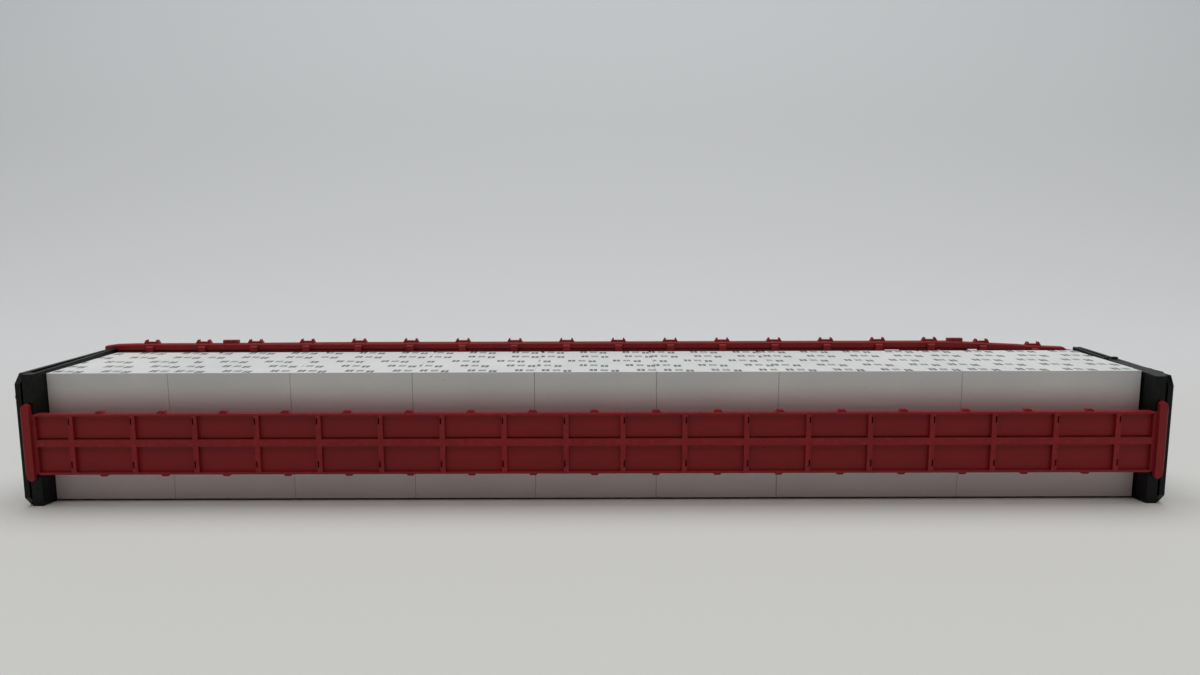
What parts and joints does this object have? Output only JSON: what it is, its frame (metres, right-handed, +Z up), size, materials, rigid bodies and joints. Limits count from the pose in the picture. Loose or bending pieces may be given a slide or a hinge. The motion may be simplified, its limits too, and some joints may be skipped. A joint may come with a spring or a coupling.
{
  "type": "centre-partition flat car model",
  "caption": "Scale model of a centre-partition railway flat car lying on its side, with end bulkheads, ribbed top chord, swivelling trucks, knuckle couplers and a load of wrapped lumber packs.",
  "frame": {"origin": "bottom centre of the box of the car as it lies on its side", "axes": "+X along the car's length, +Y from the top chord towards the wheels, +Z up as it lies, which is the car's sideways direction"},
  "size_m": [0.2756, 0.0516, 0.036],
  "materials": {
    "red_plastic": "moulded oxide-red styrene, satin, slightly brighter on edges",
    "black_plastic": "moulded black styrene, satin",
    "lumber_wrap": null,
    "truck_plastic": "moulded dark brown-black acetal, matt",
    "wheel_metal": "turned and blackened metal, bright tread",
    "axle_steel": "turned steel",
    "screw_steel": "slotted steel screw, satin",
    "ballast_steel": "sheared mild steel bar",
    "coupler_metal": "die-cast zinc, blackened"
  },
  "bodies": {
    "car_body": {"deck": "red_plastic", "underframe": "red_plastic", "centre_partition": "red_plastic", "top_chord": "red_plastic", "chord_end_cap_left": "red_plastic", "chord_end_cap_right": "red_plastic", "draft_gear_lid_left": "red_plastic", "draft_gear_lid_right": "red_plastic", "air_reservoir": "red_plastic", "brake_cylinder": "red_plastic", "control_valve": "red_plastic", "bulkhead_left": "black_plastic", "bulkhead_right": "black_plastic", "ladder_left": "black_plastic", "ladder_right": "black_plastic", "brake_wheel": "black_plastic", "sill_step_left_upper": "black_plastic", "sill_step_left_lower": "black_plastic", "sill_step_right_upper": "black_plastic", "sill_step_right_lower": "black_plastic", "ballast_bar": "ballast_steel", "kingpin_screw_left": "screw_steel", "kingpin_screw_right": "screw_steel", "draft_gear_screw_left": "screw_steel", "draft_gear_screw_right": "screw_steel", "lumber_pack_upper_1": "lumber_wrap", "lumber_pack_upper_2": "lumber_wrap", "lumber_pack_upper_3": "lumber_wrap", "lumber_pack_upper_4": "lumber_wrap", "lumber_pack_upper_5": "lumber_wrap", "lumber_pack_upper_6": "lumber_wrap", "lumber_pack_upper_7": "lumber_wrap", "lumber_pack_upper_8": "lumber_wrap", "lumber_pack_lower_1": "lumber_wrap", "lumber_pack_lower_2": "lumber_wrap", "lumber_pack_lower_3": "lumber_wrap", "lumber_pack_lower_4": "lumber_wrap", "lumber_pack_lower_5": "lumber_wrap", "lumber_pack_lower_6": "lumber_wrap", "lumber_pack_lower_7": "lumber_wrap", "lumber_pack_lower_8": "lumber_wrap"},
    "truck_left": {"truck_frame_left": "truck_plastic"},
    "wheelset_left_outer": {"axle_left_outer": "axle_steel", "wheel_left_outer_a": "wheel_metal", "wheel_left_outer_b": "wheel_metal"},
    "wheelset_left_inner": {"axle_left_inner": "axle_steel", "wheel_left_inner_a": "wheel_metal", "wheel_left_inner_b": "wheel_metal"},
    "truck_right": {"truck_frame_right": "truck_plastic"},
    "wheelset_right_outer": {"axle_right_outer": "axle_steel", "wheel_right_outer_a": "wheel_metal", "wheel_right_outer_b": "wheel_metal"},
    "wheelset_right_inner": {"axle_right_inner": "axle_steel", "wheel_right_inner_a": "wheel_metal", "wheel_right_inner_b": "wheel_metal"},
    "coupler_left": {"coupler_left": "coupler_metal"},
    "knuckle_left": {"knuckle_left": "coupler_metal"},
    "coupler_right": {"coupler_right": "coupler_metal"},
    "knuckle_right": {"knuckle_right": "coupler_metal"}
  },
  "joints": [
    {"name": "truck_swivel_left", "type": "hinge", "parent": "car_body", "child": "truck_left", "pos_m": [-0.0945, 0.01575, 0.01799], "axis": [0, 1, 0], "range_deg": [-12, 12]},
    {"name": "wheelset_left_outer_spin", "type": "hinge", "parent": "truck_left", "child": "wheelset_left_outer", "pos_m": [-0.1047, 0.02035, 0.01799], "axis": [0, 0, 1], "continuous": true},
    {"name": "wheelset_left_inner_spin", "type": "hinge", "parent": "truck_left", "child": "wheelset_left_inner", "pos_m": [-0.0843, 0.02035, 0.01799], "axis": [0, 0, 1], "continuous": true},
    {"name": "truck_swivel_right", "type": "hinge", "parent": "car_body", "child": "truck_right", "pos_m": [0.0945, 0.01575, 0.01799], "axis": [0, 1, 0], "range_deg": [-12, 12]},
    {"name": "wheelset_right_outer_spin", "type": "hinge", "parent": "truck_right", "child": "wheelset_right_outer", "pos_m": [0.1047, 0.02035, 0.01799], "axis": [0, 0, 1], "continuous": true},
    {"name": "wheelset_right_inner_spin", "type": "hinge", "parent": "truck_right", "child": "wheelset_right_inner", "pos_m": [0.0843, 0.02035, 0.01799], "axis": [0, 0, 1], "continuous": true},
    {"name": "coupler_swing_left", "type": "hinge", "parent": "car_body", "child": "coupler_left", "pos_m": [-0.1232, 0.01528, 0.01799], "axis": [0, 1, 0], "range_deg": [-12, 12], "stiffness_Nm_per_rad": 0.004},
    {"name": "knuckle_open_left", "type": "hinge", "parent": "coupler_left", "child": "knuckle_left", "pos_m": [-0.13475, 0.01528, 0.01574], "axis": [0, -1, 0], "range_deg": [0, 35], "stiffness_Nm_per_rad": 0.0005},
    {"name": "coupler_swing_right", "type": "hinge", "parent": "car_body", "child": "coupler_right", "pos_m": [0.1232, 0.01528, 0.01799], "axis": [0, 1, 0], "range_deg": [-12, 12], "stiffness_Nm_per_rad": 0.004},
    {"name": "knuckle_open_right", "type": "hinge", "parent": "coupler_right", "child": "knuckle_right", "pos_m": [0.13475, 0.01528, 0.02024], "axis": [0, -1, 0], "range_deg": [0, 35], "stiffness_Nm_per_rad": 0.0005}
  ]
}
